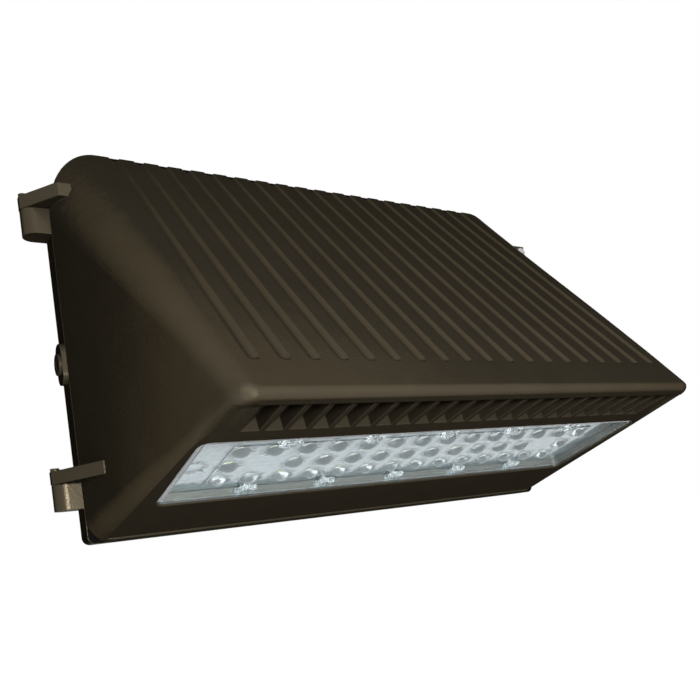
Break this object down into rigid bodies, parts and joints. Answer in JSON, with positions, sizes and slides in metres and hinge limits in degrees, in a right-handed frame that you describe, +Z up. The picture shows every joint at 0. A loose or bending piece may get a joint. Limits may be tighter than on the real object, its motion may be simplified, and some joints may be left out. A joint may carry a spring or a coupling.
{
  "type": "wall pack light",
  "caption": "Outdoor wall pack light: hinged wedge-shaped die-cast cover with grooved top and a downward LED optic, on a shallow back box",
  "frame": {"origin": "middle of the four wall fixings, on the wall's surface behind the wall gasket", "axes": "+X to the right seen from the front, +Y into the wall, +Z up"},
  "size_m": [0.3897, 0.1849, 0.232],
  "materials": {
    "bronze_coat": "fine-textured dark bronze powder coat on die-cast aluminium, half matt",
    "bronze_plug": "dark bronze enamel on a cast plug",
    "clear_lens": "clear moulded polycarbonate optic",
    "white_board": "white solder mask on an aluminium board",
    "phosphor": "yellow phosphor chips",
    "grey_pad": "soft thermal pad",
    "black_rubber": "black silicone rubber",
    "stainless": "plain stainless steel",
    "zinc_steel": "zinc-plated steel",
    "driver_case": "bare aluminium case",
    "white_plastic": "off-white nylon",
    "dark_plastic": "black moulded case",
    "nylon": "natural nylon",
    "brass": "plain brass",
    "green_screw": "green-dyed steel"
  },
  "bodies": {
    "box": {"back_box": "bronze_coat", "wall_gasket": "black_rubber", "door_gasket": "black_rubber", "hinge_pins": "stainless", "conduit_plug_left": "bronze_plug", "conduit_plug_right": "bronze_plug", "wire_bushing": "black_rubber", "driver_plate": "zinc_steel", "led_driver": "driver_case", "plate_screws": "zinc_steel", "driver_screws": "zinc_steel", "terminal_block": "white_plastic", "terminal_screws": "brass", "surge_protector": "dark_plastic", "surge_screw": "zinc_steel", "ground_screw": "green_screw"},
    "cover": {"front_cover": "bronze_coat", "lens": "clear_lens", "lens_gasket": "black_rubber", "led_board": "white_board", "thermal_pad": "grey_pad", "led_chips": "phosphor", "lens_screws": "stainless", "lead_grommet": "black_rubber"},
    "upper_screw": {"cover_screw_upper": "stainless", "screw_collar_upper": "nylon"},
    "lower_screw": {"cover_screw_lower": "stainless", "screw_collar_lower": "nylon"}
  },
  "joints": [
    {"name": "cover_hinge", "type": "hinge", "parent": "box", "child": "cover", "pos_m": [-0.1875, -0.00875, 0], "axis": [0, 0, -1], "range_deg": [0, 100]},
    {"name": "upper_screw_slide", "type": "slide", "parent": "cover", "child": "upper_screw", "axis": [0, -1, 0], "range_m": [0, 0.008]},
    {"name": "lower_screw_slide", "type": "slide", "parent": "cover", "child": "lower_screw", "axis": [0, -1, 0], "range_m": [0, 0.008]}
  ]
}
